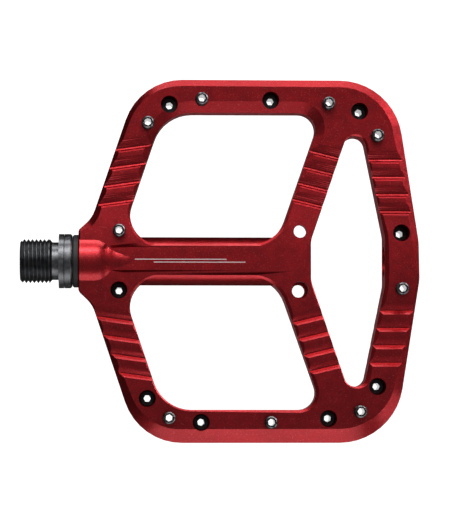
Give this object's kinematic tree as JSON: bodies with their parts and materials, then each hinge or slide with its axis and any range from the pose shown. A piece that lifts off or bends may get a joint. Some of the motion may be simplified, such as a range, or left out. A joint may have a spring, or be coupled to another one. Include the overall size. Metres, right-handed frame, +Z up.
{
  "type": "flat bicycle pedal",
  "caption": "Flat platform bicycle pedal: open windowed metal frame with grooved arms and traction pins, turning on a threaded spindle.",
  "frame": {"origin": "on the spindle's axis, at the centre of the bounding box", "axes": "+X along the spindle from the crank to the outboard edge, +Y towards the front edge, +Z up out of the tread face"},
  "size_m": [0.1266, 0.1154, 0.0202],
  "materials": {
    "red_anodised": "bead-blasted and anodised red, satin",
    "black_steel": "machined alloy steel, blackened",
    "pin_steel": "black oxide on turned steel",
    "bearing_steel": "ground bearing steel",
    "black_rubber": "moulded black rubber",
    "bushing_polymer": "dark filled plain-bearing polymer"
  },
  "bodies": {
    "spindle_assembly": {"spindle": "black_steel", "spindle_collar": "black_steel", "bearing_inner_inner_ring": "bearing_steel", "bearing_middle_inner_ring": "bearing_steel", "bearing_outer_inner_ring": "bearing_steel", "spindle_washer": "bearing_steel", "lock_nut": "black_steel"},
    "platform": {"body": "red_anodised", "lip_seal": "black_rubber", "bushing": "bushing_polymer", "bearing_inner_outer_ring": "bearing_steel", "bearing_middle_outer_ring": "bearing_steel", "bearing_outer_outer_ring": "bearing_steel", "end_cap": "red_anodised", "end_cap_o_ring": "black_rubber", "pin_top_01": "pin_steel", "pin_bottom_01": "pin_steel", "pin_top_02": "pin_steel", "pin_bottom_02": "pin_steel", "pin_top_03": "pin_steel", "pin_bottom_03": "pin_steel", "pin_top_04": "pin_steel", "pin_bottom_04": "pin_steel", "pin_top_05": "pin_steel", "pin_bottom_05": "pin_steel", "pin_top_06": "pin_steel", "pin_bottom_06": "pin_steel", "pin_top_07": "pin_steel", "pin_bottom_07": "pin_steel", "pin_top_08": "pin_steel", "pin_bottom_08": "pin_steel", "pin_top_09": "pin_steel", "pin_bottom_09": "pin_steel"},
    "ball_sets": {"bearing_inner_cage_and_balls": "bearing_steel", "bearing_middle_cage_and_balls": "bearing_steel", "bearing_outer_cage_and_balls": "bearing_steel"}
  },
  "joints": [
    {"name": "platform_spin", "type": "hinge", "parent": "spindle_assembly", "child": "platform", "pos_m": [0, 0, 0], "axis": [1, 0, 0], "continuous": true},
    {"name": "ball_sets_roll", "type": "hinge", "parent": "spindle_assembly", "child": "ball_sets", "pos_m": [0, 0, 0], "axis": [1, 0, 0], "continuous": true}
  ],
  "couplings": [
    {"joint": "ball_sets_roll", "follows": "platform_spin", "ratio": 0.5625}
  ]
}
